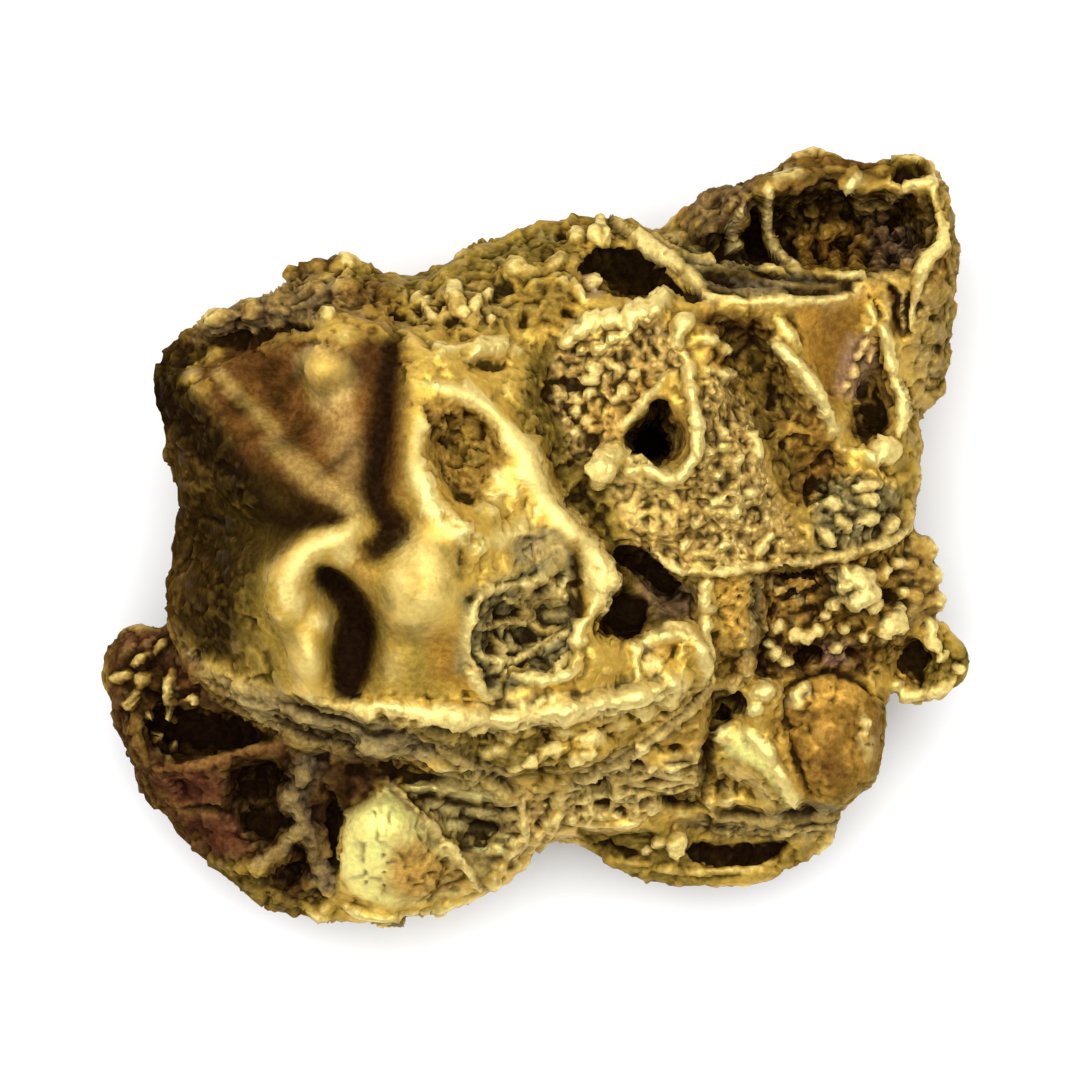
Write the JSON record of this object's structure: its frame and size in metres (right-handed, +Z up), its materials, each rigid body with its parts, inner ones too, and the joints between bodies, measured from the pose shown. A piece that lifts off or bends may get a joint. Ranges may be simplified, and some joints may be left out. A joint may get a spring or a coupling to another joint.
{
  "type": "gold nugget",
  "caption": "Natural native-gold nugget with a knobbly high lobe, an angular pitted block, a small walled bowl and a shallow cup, lying on flats worn on its underside.",
  "frame": {"origin": "on the resting plane, below the centre of the bounding box", "axes": "+Z up from the surface that the nugget rests on; +X towards the end with the small knobs and the bowl; +Y towards the side that the bowl stands on"},
  "size_m": [0.011, 0.0098, 0.0066],
  "materials": {
    "native_gold": "native gold rubbed bright on its ridges, with brown to black iron staining in its hollows and a brown film on one flank and the lower block"
  },
  "bodies": {
    "root": {"gold_nugget": "native_gold"}
  },
  "joints": []
}
